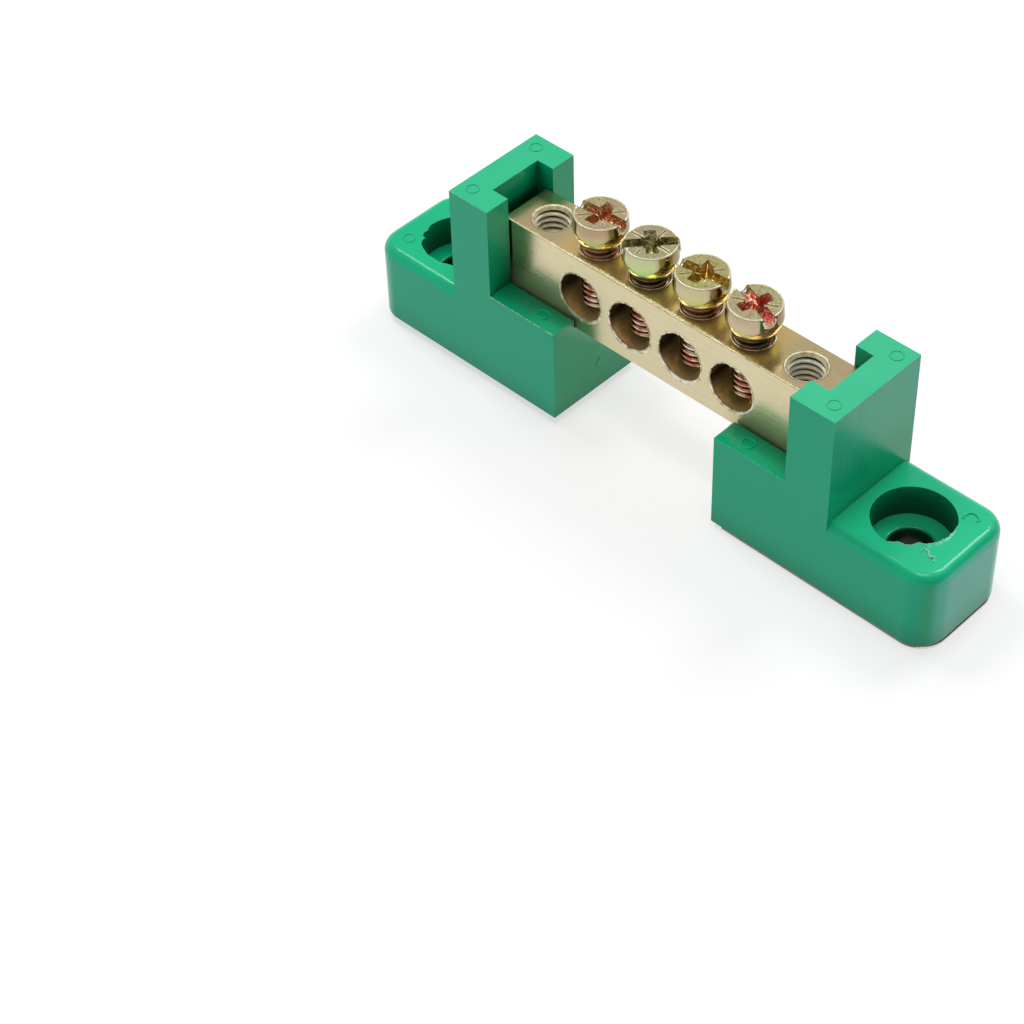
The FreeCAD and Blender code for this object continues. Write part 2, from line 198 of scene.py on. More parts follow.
# Materials
class Finish:
    """A Principled material under construction."""

    def __init__(self, name, roughness, metallic=0.0):
        self.material = bpy.data.materials.new(name)
        self.material.use_nodes = True
        self.tree = self.material.node_tree
        self.shader = self.tree.nodes["Principled BSDF"]
        self.shader.inputs["Roughness"].default_value = roughness
        self.shader.inputs["Metallic"].default_value = metallic
        self.coords = self.node("ShaderNodeTexCoord").outputs["Object"]

    def node(self, kind, **settings):
        made = self.tree.nodes.new(kind)
        for key, value in settings.items():
            setattr(made, key, value)
        return made

    def feed(self, socket, value):
        if isinstance(value, bpy.types.NodeSocket):
            self.tree.links.new(value, socket)
        else:
            socket.default_value = value

    def math(self, operation, one, two=0.0, three=0.0):
        made = self.node("ShaderNodeMath", operation=operation)
        for socket, value in zip(made.inputs, (one, two, three)):
            self.feed(socket, value)
        return made.outputs[0]

    def times(self, *values):
        """Product of several values."""
        product = values[0]
        for value in values[1:]:
            product = self.math("MULTIPLY", product, value)
        return product

    def vector(self, operation, one, two):
        made = self.node("ShaderNodeVectorMath", operation=operation)
        self.feed(made.inputs[0], one)
        self.feed(made.inputs[1], two)
        return made.outputs["Vector"]

    def split(self, vector):
        made = self.node("ShaderNodeSeparateXYZ")
        self.feed(made.inputs[0], vector)
        return made.outputs

    def step(self, value, low, high):
        """0 under low, 1 over high, smooth between."""
        made = self.node("ShaderNodeMapRange", interpolation_type="SMOOTHSTEP")
        for socket, number in zip(made.inputs, (value, low, high, 0.0, 1.0)):
            self.feed(socket, number)
        return made.outputs[0]

    def spread(self, value, low, high):
        """A 0 to 1 value spread over another range."""
        made = self.node("ShaderNodeMapRange")
        for socket, number in zip(made.inputs, (value, 0.0, 1.0, low, high)):
            self.feed(socket, number)
        return made.outputs[0]

    def mix(self, share, one, two):
        made = self.node("ShaderNodeMix", data_type="RGBA")
        for socket, value in zip((made.inputs[0], made.inputs[6], made.inputs[7]), (share, one, two)):
            self.feed(socket, value)
        return made.outputs[2]

    def coat(self, colour, *layers):
        """Lay tones over a colour, each with its share and its strength."""
        for share, strength, tone in layers:
            colour = self.mix(self.times(share, strength), colour, rgb(*tone))
        return colour

    def noise(self, scale, detail=3.0, stretch=(1.0, 1.0, 1.0), seed=0.0, rough=0.5):
        placed = self.vector("MULTIPLY", self.coords, stretch)
        made = self.node("ShaderNodeTexNoise", noise_dimensions="4D")
        for name, value in (("Vector", placed), ("W", seed), ("Scale", scale), ("Detail", detail),
                            ("Roughness", rough)):
            self.feed(made.inputs[name], value)
        return made.outputs[0]

    def ramp(self, value, stops):
        made = self.node("ShaderNodeValToRGB")
        elements = made.color_ramp.elements
        while len(elements) < len(stops):
            elements.new(0.5)
        for element, (place, colour) in zip(elements, stops):
            element.position = place
            element.color = colour
        self.feed(made.inputs[0], value)
        return made.outputs[0]

    def bump(self, height, distance, strength=1.0):
        made = self.node("ShaderNodeBump")
        for name, value in (("Strength", strength), ("Distance", distance), ("Height", height)):
            self.feed(made.inputs[name], value)
        self.feed(self.shader.inputs["Normal"], made.outputs[0])

    def facing(self):
        """How far the surface faces along X, Y and Z, each 0 to 1."""
        normal = self.node("ShaderNodeNewGeometry").outputs["True Normal"]
        return [self.math("ABSOLUTE", part) for part in self.split(normal)]

    def reach(self, centre):
        """Distance from an upright axis."""
        x, y, _ = self.split(self.vector("SUBTRACT", self.coords, (centre.x, centre.y, 0)))
        return self.math("SQRT", self.math("ADD", self.times(x, x), self.times(y, y)))


def rgb(red, green, blue):
    """Colour from its screen values, 0 to 255."""
    def linear(part):
        part /= 255
        return part / 12.92 if part <= 0.04045 else ((part + 0.055) / 1.055) ** 2.4
    return (linear(red), linear(green), linear(blue), 1.0)


def even_stops(tones, start, end):
    """Ramp stops spaced evenly between two places."""
    return [(start + (end - start) * k / (len(tones) - 1), rgb(*tone)) for k, tone in enumerate(tones)]


def moulded_plastic(name, lift=0.0, wear_and_highlight=False):
    """Satin green moulding with drag lines down its end walls."""
    finish = Finish(name, 0.2)
    facing = finish.facing()
    x, _, z = finish.split(finish.coords)
    cloud = finish.noise(260.0, 4.0)
    drag = finish.noise(1.0, 4.0, (40.0, 5200.0, 40.0), 1.0, 0.6)
    speck = finish.step(finish.noise(4200.0, 2.0, seed=2.0), 0.66, 0.8)
    level = finish.step(facing[2], *SQUARE)
    endways = finish.step(facing[0], *TURNED)
    outer = finish.spread(finish.step(finish.math("ABSOLUTE", x), *POST_FACE), 0.2, 1.0)
    lined = finish.times(finish.step(facing[0], *SQUARE), finish.step(z, *POST_LINES), outer)
    streak = finish.times(finish.step(drag, 0.48, 0.7), lined)
    on_right = finish.step(x, *RIGHT_HALF)
    # Painted sheen: level faces at the post tops paled, a little more on the right foot.
    top_sheen = finish.times(level, finish.step(z, *POST_TOP), finish.spread(on_right, 0.07, 0.12))
    # Painted sheen: the right foot's outer end face paled towards blue-green.
    end_sheen = finish.times(endways, finish.step(x, *FOOT_END))
    # Painted sheen on the upper part of the right post's outer face.
    post_sheen = finish.times(finish.step(z, *POST_UPPER), finish.step(x, *POST_FACE), endways)
    # Painted light: faces looking along Y get a brighter, bluer green; the same mask lowers their specular
    # level.
    front = finish.times(finish.step(facing[1], *TURNED), 0.8)
    # Painted light on the right pad's top beside the post, which shades it from the left lamp.
    pad_light = finish.times(level, finish.step(z, *PAD_TOP), finish.step(x, *POST_FACE))
    colour = finish.coat(
        finish.mix(cloud, rgb(8, 184, 128), rgb(18, 197, 142)),
        (streak, 0.22, (120, 225, 190)),
        (speck, 0.35, (130, 230, 195)),
        (top_sheen, 1.0, (170, 250, 220)),
        (end_sheen, 0.42, (130, 245, 232)),
        (post_sheen, 0.2, (130, 245, 232)),
        (front, 1.0, (8, 205, 158)),
        (pad_light, 0.3, (70, 235, 180)))
    if wear_and_highlight:
        # Wear and painted highlight: the rounded edges paled in patches.
        patch = finish.step(finish.noise(1100.0, 4.0, seed=6.0), 0.35, 0.6)
        colour = finish.coat(colour, (patch, 0.75, (190, 250, 225)))
    if lift:
        colour = finish.mix(lift, colour, rgb(235, 252, 242))
    # Painted shade: ambient occlusion darkens nooks, less on level faces.
    nook = finish.node("ShaderNodeAmbientOcclusion", samples=6)
    nook.inputs["Distance"].default_value = 9 * MM
    nook_shade = finish.times(finish.step(nook.outputs["AO"], 0.68, 0.2), finish.spread(facing[2], 0.95, 0.24))
    # Painted shade in patches along the bottom of the right foot, where it meets the strip.
    base_shade_patches = finish.spread(finish.noise(260.0, 3.0, seed=9.0), 0.3, 1.3)
    base_shade = finish.math("MINIMUM", finish.times(finish.step(z, *BASE_SHADE_LINE), on_right, base_shade_patches), 0.95)
    colour = finish.coat(colour, (nook_shade, 1.0, (0, 52, 26)), (base_shade, 1.0, (24, 30, 20)))
    finish.feed(finish.shader.inputs["Base Color"], colour)
    finish.feed(finish.shader.inputs["Specular IOR Level"], finish.spread(front, 0.5, 0.31))
    rough = finish.math("ADD", finish.spread(cloud, 0.11, 0.19), finish.times(lined, 0.1))
    finish.feed(finish.shader.inputs["Roughness"], rough)
    ripple = finish.times(finish.noise(900.0, 4.0, seed=4.0, rough=0.6), 0.6)
    lines = finish.times(drag, lined, 1.6)
    finish.bump(finish.math("ADD", ripple, lines), 0.03 * MM, 0.6 if wear_and_highlight else 0.45)
    finish.shader.inputs["IOR"].default_value = 1.38
    return finish.material


def bar_brass():
    """Satin brass: pale drawn front, warmer top with a painted glow beside the screws, and drilled bores with
    painted shade on their walls and painted light low down.
    """
    finish = Finish("bar_brass_finish", 0.3, 1.0)
    x, y, z = finish.split(finish.coords)
    low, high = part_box(BAR)
    facing = finish.facing()
    grain = finish.noise(1.0, 4.0, (240.0, 3600.0, 3600.0), 1.0, 0.65)
    cloud = finish.noise(150.0, 5.0, seed=2.0)
    pits = finish.step(finish.noise(3200.0, 2.0, seed=3.0), 0.6, 0.8)
    span = finish.math("ABSOLUTE", x)

    # Painted reflection of the screw heads: the top beside them brightened towards orange.
    screw_glow = finish.times(finish.step(span, 14 * MM, 12 * MM), finish.spread(cloud, 0.2, 1.0))
    front = finish.coat(
        finish.mix(grain, rgb(206, 194, 156), rgb(230, 219, 186)),
        (cloud, 0.35, (196, 178, 134)),
        (pits, 0.3, (160, 140, 98)))
    top = finish.coat(
        finish.mix(cloud, rgb(214, 184, 124), rgb(236, 220, 172)),
        (grain, 0.4, (244, 232, 196)),
        (pits, 0.3, (190, 150, 90)),
        (screw_glow, 1.0, (255, 213, 126)))
    # Painted shade: the lower sides of the bar near the feet darkened towards olive; the same mask makes them
    # rougher and less metallic.
    film = finish.times(finish.step(span, 8.5 * MM, 12.5 * MM),
                        finish.step(z, low.z + 5.2 * MM, low.z + 0.8 * MM),
                        finish.step(facing[2], 0.6, 0.4))
    outside = finish.mix(finish.step(facing[2], 0.4, 0.7), front, top)
    outside = finish.coat(outside, (film, 0.4, (140, 136, 92)))

    inside = finish.times(finish.step(finish.math("ABSOLUTE", y), high.y - 0.04 * MM, high.y - 0.1 * MM),
                          finish.step(z, high.z - 0.05 * MM, high.z - 0.2 * MM),
                          finish.step(z, low.z + 0.02 * MM, low.z + 0.1 * MM))
    chatter = finish.noise(1.0, 4.0, (1700.0, 260.0, 1700.0), 5.0, 0.6)
    bore = finish.ramp(chatter, [
        (0.3, rgb(140, 126, 84)), (0.48, rgb(200, 182, 128)),
        (0.6, rgb(226, 206, 150)), (0.75, rgb(252, 242, 200))])
    # Painted light and shade in the wire ways: walls darkened almost to black, the lower part brightened
    # towards gold.
    floor = finish.step(z, low.z + WIRE_UP - 0.4 * MM, low.z + WIRE_UP - 2.2 * MM)
    shaded_bore_walls = finish.mix(0.9, bore, rgb(36, 26, 8))
    bore = finish.mix(floor, shaded_bore_walls, finish.mix(0.5, bore, rgb(255, 220, 130)))
    finish.feed(finish.shader.inputs["Base Color"], finish.mix(inside, outside, bore))

    # Less metallic under the painted glow, so that it takes up lamp light too.
    glow_diffuse = finish.times(screw_glow, finish.step(facing[2], 0.6, 0.9), 0.24)
    dull = finish.math("MAXIMUM", finish.times(film, 0.15), finish.times(inside, 0.45))
    dull = finish.math("MAXIMUM", dull, glow_diffuse)
    finish.feed(finish.shader.inputs["Metallic"], finish.math("SUBTRACT", 1.0, dull))
    satin = finish.math("ADD", finish.spread(grain, 0.15, 0.27), finish.times(film, 0.28))
    finish.feed(finish.shader.inputs["Roughness"], satin)
    brush = finish.noise(1.0, 3.0, (160.0, 8000.0, 8000.0), 7.0)
    relief = finish.math("ADD", brush, finish.times(pits, -0.5))
    relief = finish.math("ADD", relief, finish.times(inside, chatter, 2.5))
    finish.bump(relief, 0.022 * MM, 0.6)
    return finish.material


def cut_brass(name, metallic, dark, bright):
    """Brass of freshly cut rims and burrs, partly diffuse; its pale grades carry painted highlights, its dark
    grade painted shade.
    """
    finish = Finish(name, 0.2, metallic)
    patch = finish.noise(1600.0, 3.0)
    colour = finish.mix(finish.step(patch, 0.3, 0.62), rgb(*dark), rgb(*bright))
    finish.feed(finish.shader.inputs["Base Color"], colour)
    finish.feed(finish.shader.inputs["Roughness"], finish.spread(patch, 0.3, 0.5))
    finish.bump(patch, 0.01 * MM, 0.4)
    return finish.material


def thread_metal(name, centre, root, crest, root_shade_tone, crest_highlight_tones, rough, neck=None, neck_tone=None):
    """Cut thread: painted shade at the root, painted highlight on the crest."""
    finish = Finish(name, 0.2, 1.0 if neck else 0.3)
    # Painted shade at the thread's root and painted highlight on its crest, by distance from the axis.
    share = finish.step(finish.reach(centre), root, crest)
    patch = finish.noise(900.0, 3.0)
    bright = finish.mix(finish.step(patch, 0.4, 0.6), rgb(*crest_highlight_tones[0]), rgb(*crest_highlight_tones[1]))
    colour = finish.mix(share, rgb(*root_shade_tone), bright)
    if neck:
        above = finish.step(finish.split(finish.coords)[2], neck, neck + 0.2 * MM)
        colour = finish.coat(colour, (above, 0.86, neck_tone))
    finish.feed(finish.shader.inputs["Base Color"], colour)
    finish.feed(finish.shader.inputs["Roughness"], finish.spread(patch, rough * 0.8, rough * 1.3))
    finish.bump(finish.noise(2400.0, 2.0, seed=3.0), 0.01 * MM, 0.4)
    return finish.material


def strip_brass():
    """Bright rolled brass sheet with pale cut edges and painted shade along their top."""
    finish = Finish("strip_brass_finish", 0.24, 1.0)
    facing = finish.facing()
    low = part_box("earth_strip")[0]
    z = finish.split(finish.coords)[2]
    grain = finish.noise(1.0, 3.0, (220.0, 3800.0, 3800.0), 1.0)
    cloud = finish.noise(130.0, 3.0, seed=2.0)
    edge = finish.times(finish.step(z, low.z + 0.5 * MM, low.z + 0.45 * MM), finish.step(facing[2], 0.6, 0.3))
    # Painted shade: the sheet's top and the upper part of its edges darkened in patches, under the feet.
    brink = finish.math("SUBTRACT", z, finish.times(finish.step(facing[0], 0.4, 0.7), 0.17 * MM))
    crease_shade = finish.times(finish.step(brink, low.z + 0.1 * MM, low.z + 0.15 * MM),
                          finish.step(z, low.z + 0.6 * MM, low.z + 0.5 * MM),
                          finish.spread(finish.noise(220.0, 3.0, seed=5.0), 0.55, 1.0))
    colour = finish.coat(
        finish.mix(grain, rgb(222, 208, 158), rgb(242, 232, 196)),
        (cloud, 0.4, (206, 184, 122)),
        (edge, 1.0, (240, 232, 214)),
        (crease_shade, 1.0, (26, 22, 14)))
    finish.feed(finish.shader.inputs["Base Color"], colour)
    finish.feed(finish.shader.inputs["Roughness"], finish.spread(grain, 0.18, 0.32))
    finish.bump(finish.math("ADD", cloud, finish.times(grain, 0.1)), 0.03 * MM, 0.3)
    return finish.material


def plated_steel(name, centre, seat, side_tones, face_tone, recess_tones, seed):
    """Yellow-passivated zinc whose tint drifts over the head and turns in the driver recess."""
    finish = Finish(name, 0.13, 1.0)
    z = finish.split(finish.coords)[2]
    facing = finish.facing()
    top = seat + HEAD_HIGH
    drift = finish.noise(320.0, 2.0, seed=seed)
    fine = finish.noise(2400.0, 3.0, seed=seed + 1.0)
    level = finish.step(facing[2], *SQUARE)

    height = finish.math("DIVIDE", finish.math("SUBTRACT", z, seat), HEAD_HIGH)
    drifted = finish.times(finish.math("SUBTRACT", drift, 0.3), 0.9)
    place = finish.math("ADD", finish.times(height, 0.6), drifted)
    # Painted dark reflection: the side of each head that looks along +X darkened towards brown.
    turned = finish.split(finish.node("ShaderNodeNewGeometry").outputs["Normal"])[0]
    side = finish.coat(
        finish.ramp(place, even_stops(side_tones, 0.0, 1.0)),
        (finish.step(turned, 0.72, 0.95), 0.75, (134, 104, 62)))

    speckle = finish.noise(3600.0, 4.0, seed=seed + 7.0, rough=0.7)
    shaded_tone = [0.84 * part for part in face_tone]
    face = finish.coat(
        finish.mix(finish.step(speckle, 0.4, 0.62), rgb(*face_tone), rgb(*shaded_tone)),
        (finish.step(drift, 0.48, 0.6), 0.3, (214, 176, 150)))
    outer = finish.mix(level, side, face)

    swirl = finish.noise(1300.0, 3.0, seed=seed + 2.0)
    # Painted shade on the recess walls and in patches, and painted glints.
    dark = finish.times(finish.step(finish.noise(2600.0, 3.0, seed=seed + 6.0), 0.6, 0.45), 0.6)
    dark = finish.math("MAXIMUM", dark, finish.step(facing[2], 0.45, 0.2))
    glint = finish.step(finish.noise(3800.0, 2.0, seed=seed + 9.0), 0.55, 0.62)
    inner = finish.coat(
        finish.ramp(swirl, even_stops(recess_tones, 0.35, 0.65)),
        (dark, 0.5, (120, 78, 46)),
        (glint, 0.9, (255, 240, 214)))

    sunk = finish.times(finish.step(z, top - 0.04 * MM, top - 0.12 * MM),
                        finish.step(finish.reach(centre), 2.45 * MM, 2.3 * MM),
                        finish.step(z, seat + 0.3 * MM, seat + 0.6 * MM))
    finish.feed(finish.shader.inputs["Base Color"], finish.mix(sunk, outer, inner))
    finish.feed(finish.shader.inputs["Metallic"], finish.spread(sunk, 1.0, 0.8))
    rough = finish.math("ADD", finish.spread(fine, 0.07, 0.2), finish.times(level, 0.2))
    finish.feed(finish.shader.inputs["Roughness"], rough)
    waves = finish.times(finish.noise(700.0, 2.0, seed=seed + 4.0), 2.5)
    finish.bump(finish.math("ADD", fine, waves), 0.02 * MM, 0.5)
    return finish.material


def bright_zinc():
    """Worn zinc along rims and torn edges, pale and half diffuse so that it also carries painted highlights.
    """
    finish = Finish("bright_zinc_finish", 0.3, 0.5)
    patch = finish.noise(1800.0, 3.0)
    finish.feed(finish.shader.inputs["Base Color"], finish.mix(patch, rgb(228, 214, 172), rgb(254, 246, 220)))
    finish.feed(finish.shader.inputs["Roughness"], finish.spread(patch, 0.2, 0.34))
    finish.bump(patch, 0.01 * MM, 0.5)
    return finish.material


PLASTIC = moulded_plastic("foot_plastic_finish")
WEAR_AND_HIGHLIGHT_PLASTIC = moulded_plastic("wear_and_highlight_plastic_finish", wear_and_highlight=True)
STRESSED_PLASTIC = moulded_plastic("stressed_plastic_finish", lift=0.5)
BRASS = bar_brass()
# Grades of cut brass: the pale ones carry painted highlights, the shaded one painted shade.
CUT_BRASS = cut_brass("cut_brass_finish", 0.6, (166, 144, 96), (255, 248, 226))
ROLLED_BRASS = cut_brass("rolled_brass_finish", 0.5, (196, 182, 134), (240, 228, 188))
SHADED_BRASS = cut_brass("shaded_brass_finish", 0.5, (96, 84, 44), (168, 154, 98))
BURR_BRASS = cut_brass("burr_brass_finish", 0.3, (252, 234, 176), (255, 248, 214))
# Wear and painted highlight on the screws' rims, ticks and torn edges.
ZINC_EDGE = bright_zinc()


# Feet: rounded moulding edges, ejector marks and torn edges
def ring_mark(bm, centre, radius, width, height, start=0.0, end=math.tau, count=44):
    """Raised ring on a level face, closed or part of the way round."""
    whole = end - start > math.tau - 0.01
    profile = [(-width, -height), (-width * 0.35, height), (width * 0.35, height), (width, -height)]
    rings = []
    for k in range(count if whole else count + 1):
        rings.append(section(centre, around(start + (end - start) * k / count), profile, radius))
    skin(bm, rings, closed_rings=False, closed_row=whole)


def ejector_marks(foot, side):
    """Rings left by the mould's ejector pins."""
    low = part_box(foot)[0]
    spots = [(22.85, -4.4, FOOT_HIGH), (22.85, 4.6, FOOT_HIGH),
             (13.4, -4.6, BLOCK_HIGH), (13.4, 4.6, BLOCK_HIGH)]
    if side < 0:
        spots += [(33.9, -3.4, PAD_HIGH), (33.9, 3.4, PAD_HIGH)]
    bm = bmesh.new()
    for out, across, height in spots:
        centre = Vector((side * out * MM, across * MM, low.z + height))
        ring_mark(bm, centre, MARK_RADIUS, 0.1 * MM, 0.07 * MM)
    add_piece(foot + "_ejector_marks", bm, [PLASTIC], ROOT)


def seat_centre(foot, side):
    return Vector((side * SEAT_OUT, 0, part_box(foot)[0].z + PAD_HIGH))


def smooth_random(along, row):
    """Random value that changes smoothly along a row."""
    return noise.noise(Vector((along, row, 0)))


# Lean of the torn film in millimetres at shares of the tear, and the tear's arc in degrees
TORN_LEAN = [
    (0.0, 0.05), (0.12, 0.5), (0.24, 0.42), (0.38, 0.8), (0.5, 0.52), (0.66, 0.36), (0.82, 0.2), (1.0, 0.02)]
TORN_FROM = -88.0
TORN_SPAN = 114.0
TORN_STEPS = 150
CREST_THICK = 0.036 * MM


def torn_lean(share):
    """How far the film leans in at a share of the tear."""
    before = max(p for p in TORN_LEAN if p[0] <= share)
    after = min([p for p in TORN_LEAN if p[0] > share] or [before])
    part = (share - before[0]) / max(1e-6, after[0] - before[0])
    lean = before[1] + (after[1] - before[1]) * (3 - 2 * part) * part * part
    lean += 0.1 * smooth_random(share * 22.0, 4.1) + 0.02 * smooth_random(share * 60.0, 1.7)
    return max(0.0, lean) * MM


def torn_rim():
    """Film of plastic torn at the mouth of the right counterbore, and its whitened crest."""
    centre = seat_centre("foot_right", 1)
    thick = Vector((0, 0, CREST_THICK))
    film, crest = [], []
    for k in range(TORN_STEPS + 1):
        share = k / TORN_STEPS
        lean = torn_lean(share)
        rise = (0.03 + 0.05 * abs(smooth_random(share * 9.0, 7.7))) * MM
        out = around(math.radians(TORN_FROM + TORN_SPAN * share))
        profile = [(0.06 * MM, -0.01 * MM), (-lean, rise), (-lean, rise - 0.05 * MM), (0.02 * MM, -0.16 * MM)]
        film.append(section(centre, out, profile, SEAT_RADIUS))
        lip = film[-1][1]
        crest.append([lip + out * CREST_THICK, lip + thick, lip - out * CREST_THICK, lip - thick])
    bm = bmesh.new()
    skin(bm, film)
    add_piece("foot_right_torn_rim", bm, [PLASTIC], ROOT)
    bm = bmesh.new()
    skin(bm, crest)
    add_piece("foot_right_torn_crest", bm, [STRESSED_PLASTIC], ROOT)


# Arc of the scallops in degrees
SCALLOPS_FROM = 120.0
SCALLOPS_SPAN = 180.0
SCALLOP_STEPS = 170
SCALLOP_LOBES = 5.2


def scallop_depth(share):
    """Depth of the scallops at a share of their arc."""
    lobe = abs(math.sin(share * math.pi * SCALLOP_LOBES + 1.1 * math.sin(share * 13.0))) ** 0.6
    size = 0.24 + 0.5 * abs(smooth_random(share * 8.0, 2.2))
    return (0.02 + size * (1.0 - lobe) * math.sin(math.pi * share) ** 0.4) * MM


def scalloped_rim():
    """Scallops around the left counterbore where a cutter chattered."""
    centre = seat_centre("foot_left", -1)
    rings = []
    for k in range(SCALLOP_STEPS + 1):
        share = k / SCALLOP_STEPS
        out = around(math.radians(SCALLOPS_FROM + SCALLOPS_SPAN * share))
        depth = scallop_depth(share)
        profile = [(0.1 * MM, -0.03 * MM), (0.01 * MM - depth, 0.005 * MM), (-depth * 1.1, -0.045 * MM),
                   (0.03 * MM, -0.2 * MM)]
        rings.append(section(centre, out, profile, SEAT_RADIUS))
    bm = bmesh.new()
    skin(bm, rings)
    add_piece("foot_left_scallops", bm, [PLASTIC], ROOT)


def flake(points, height, width):
    """Thin upstanding sliver through level points."""
    rings = []
    for k, point in enumerate(points):
        before = points[max(0, k - 1)]
        after = points[min(len(points) - 1, k + 1)]
        side = Vector((0, 0, 1)).cross(after - before).normalized() * width
        tall = Vector((0, 0, height * (0.35 + 0.65 * math.sin(math.pi * (k + 0.6) / len(points)))))
        rings.append([point - side, point - side * 0.4 + tall, point + side * 0.4 + tall, point + side])
    bm = bmesh.new()
    skin(bm, rings)
    return bm


# Slivers beside the right mounting hole: level points, height and half width in millimetres, and plastic
SLIVERS = [
    ([(32.95, -2.5), (33.2, -2.66), (33.4, -2.62), (33.7, -2.95), (34.0, -3.1), (34.3, -2.85), (34.4, -3.1),
      (34.52, -3.33)],
     0.22, 0.09, STRESSED_PLASTIC),
    ([(32.97, -2.5), (32.84, -2.62), (32.9, -2.8), (32.8, -2.92), (32.92, -3.07)],
     0.16, 0.08, STRESSED_PLASTIC),
    ([(33.1, 2.95), (33.02, 3.4), (33.15, 3.85), (33.4, 4.07), (33.85, 4.1), (34.2, 3.94), (34.4, 3.7),
      (34.3, 3.43)],
     0.17, 0.15, PLASTIC),
]


def pad_slivers():
    """Slivers raised beside the right mounting hole."""
    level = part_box("foot_right")[0].z + PAD_HIGH - 0.01 * MM
    for number, (path, height, width, plastic) in enumerate(SLIVERS, 1):
        points = [Vector((x * MM, y * MM, level)) for x, y in path]
        add_piece("foot_right_sliver_%d" % number, flake(points, height * MM, width * MM), [plastic], ROOT)


def make_foot(foot, side):
    """Moulding with edges paled by wear and painted highlight, and rounded over where it stands."""
    bm = solid_of(foot)
    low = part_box(foot)[0]

    def on_base(edge):
        return all(abs(vert.co.z - low.z) < 1e-6 for vert in edge.verts)

    def clear_of_bar(edge):
        spots = [vert.co for vert in edge.verts]
        return any(abs(s.y) > 3.25 * MM or s.z > 20.4 * MM or abs(s.x) > 22 * MM for s in spots)

    round_edges(bm, 0.22 * MM, wanted=on_base)
    round_edges(bm, 0.1 * MM, sharper=50.0, material=1, wanted=clear_of_bar)
    add_piece(foot + "_moulding", bm, [PLASTIC, WEAR_AND_HIGHLIGHT_PLASTIC], ROOT, foot, sharp=60.0, weigh=True)
    ejector_marks(foot, side)


# Lumps of the gate scar: across, up, sizes in millimetres, seed
SCAR_LUMPS = [
    (0.4, 4.7, (0.14, 0.4, 0.3), 5),
    (0.2, 4.1, (0.12, 0.3, 0.34), 6),
    (0.9, 4.6, (0.05, 0.14, 0.12), 7),
]


def gate_scar():
    """Scar of the gate on the left foot's inner end."""
    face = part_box("foot_left")[1].x - 0.02 * MM
    bm = bmesh.new()
    for across, up, size, seed in SCAR_LUMPS:
        lump(bm, Vector((face, across * MM, up * MM)), [part * MM for part in size], seed)
    add_piece("foot_left_gate_scar", bm, [PLASTIC], ROOT)


# Flash: foot, place, from and to along X in millimetres, height, bead size in millimetres, share, seed
FLASH = [
    ("foot_left", "ledge", -19.3, -10.6, BLOCK_HIGH, 0.06, 0.85, 21),
    ("foot_left", "top", -24.3, -20.4, FOOT_HIGH, 0.035, 0.4, 22),
    ("foot_right", "ledge", 10.6, 20.2, BLOCK_HIGH, 0.03, 0.3, 23),
]
FLASH_PITCH = 0.16 * MM


def flash_line(foot, place, start_x, end_x, height, size, share, seed):
    """Broken line of whitened flash along a front edge."""
    dice = random.Random(seed)
    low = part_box(foot)[0]
    start = Vector((start_x * MM, low.y, low.z + height))
    end = Vector((end_x * MM, low.y, low.z + height))
    bm = bmesh.new()
    count = int((end - start).length / FLASH_PITCH)
    for k in range(count):
        if dice.random() < share:
            spot = start.lerp(end, (k + dice.random()) / count)
            wide = size * MM * dice.uniform(0.6, 1.4)
            lump(bm, spot, (wide * 1.8, wide, wide), dice.random())
    add_piece("%s_%s_flash" % (foot, place), bm, [STRESSED_PLASTIC], ROOT, sharp=60.0)


make_foot("foot_left", -1)
make_foot("foot_right", 1)
torn_rim()
scalloped_rim()
pad_slivers()
gate_scar()
for line in FLASH:
    flash_line(*line)

# Bar with its tapped end holes, deburred wire ways and a burr along the sawn edge
bar_low, bar_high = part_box(BAR)
bm = solid_of(BAR)
round_edges(bm, 0.05 * MM)
add_piece("bus_bar_section", bm, [BRASS], ROOT, BAR, sharp=50.0, weigh=True)


# Countersunk mouth of a tapped hole: out from its radius and up from the bar's top
MOUTH = [(0.12 * MM, 0.002 * MM), (0.02 * MM, 0.002 * MM), (-0.03 * MM, -0.06 * MM), (-0.26 * MM, -0.36 * MM)]
MOUTH_POINTS = 72


def tapped_hole(name, side):
    """Thread and countersunk mouth of one end hole."""
    middle = Vector((side * TAP_OUT, 0, 0))
    mouth = bar_high.z - 0.12 * MM

    def tapped(z, ridge):
        opened = min(1.0, max(0.0, (mouth - z) / (0.5 * MM)))
        return TAP_RADIUS - 0.01 * MM - THREAD_DEPTH * ridge * opened

    metal = thread_metal("tapped_thread_" + name, middle, TAP_RADIUS - 0.05 * MM, TAP_RADIUS - 0.2 * MM,
                         (30, 18, 8), [(255, 244, 214), (255, 253, 240)], 0.45)
    bm = bmesh.new()
    skin(bm, thread_wall(middle, bar_high.z - TAP_DEEP, mouth, tapped))
    add_piece("bus_bar_thread_" + name, bm, [metal], ROOT)
    bm = bmesh.new()
    mouth_rings = []
    for across, up in MOUTH:
        level = middle + Vector((0, 0, bar_high.z + up))
        mouth_rings.append([level + around(math.tau * k / MOUTH_POINTS) * (TAP_RADIUS + across)
                            for k in range(MOUTH_POINTS)])
    skin(bm, mouth_rings)
    add_piece("bus_bar_mouth_" + name, bm, [ROLLED_BRASS], ROOT, sharp=70.0)


tapped_hole("left", -1)
tapped_hole("right", 1)


WAY_POINTS = 150


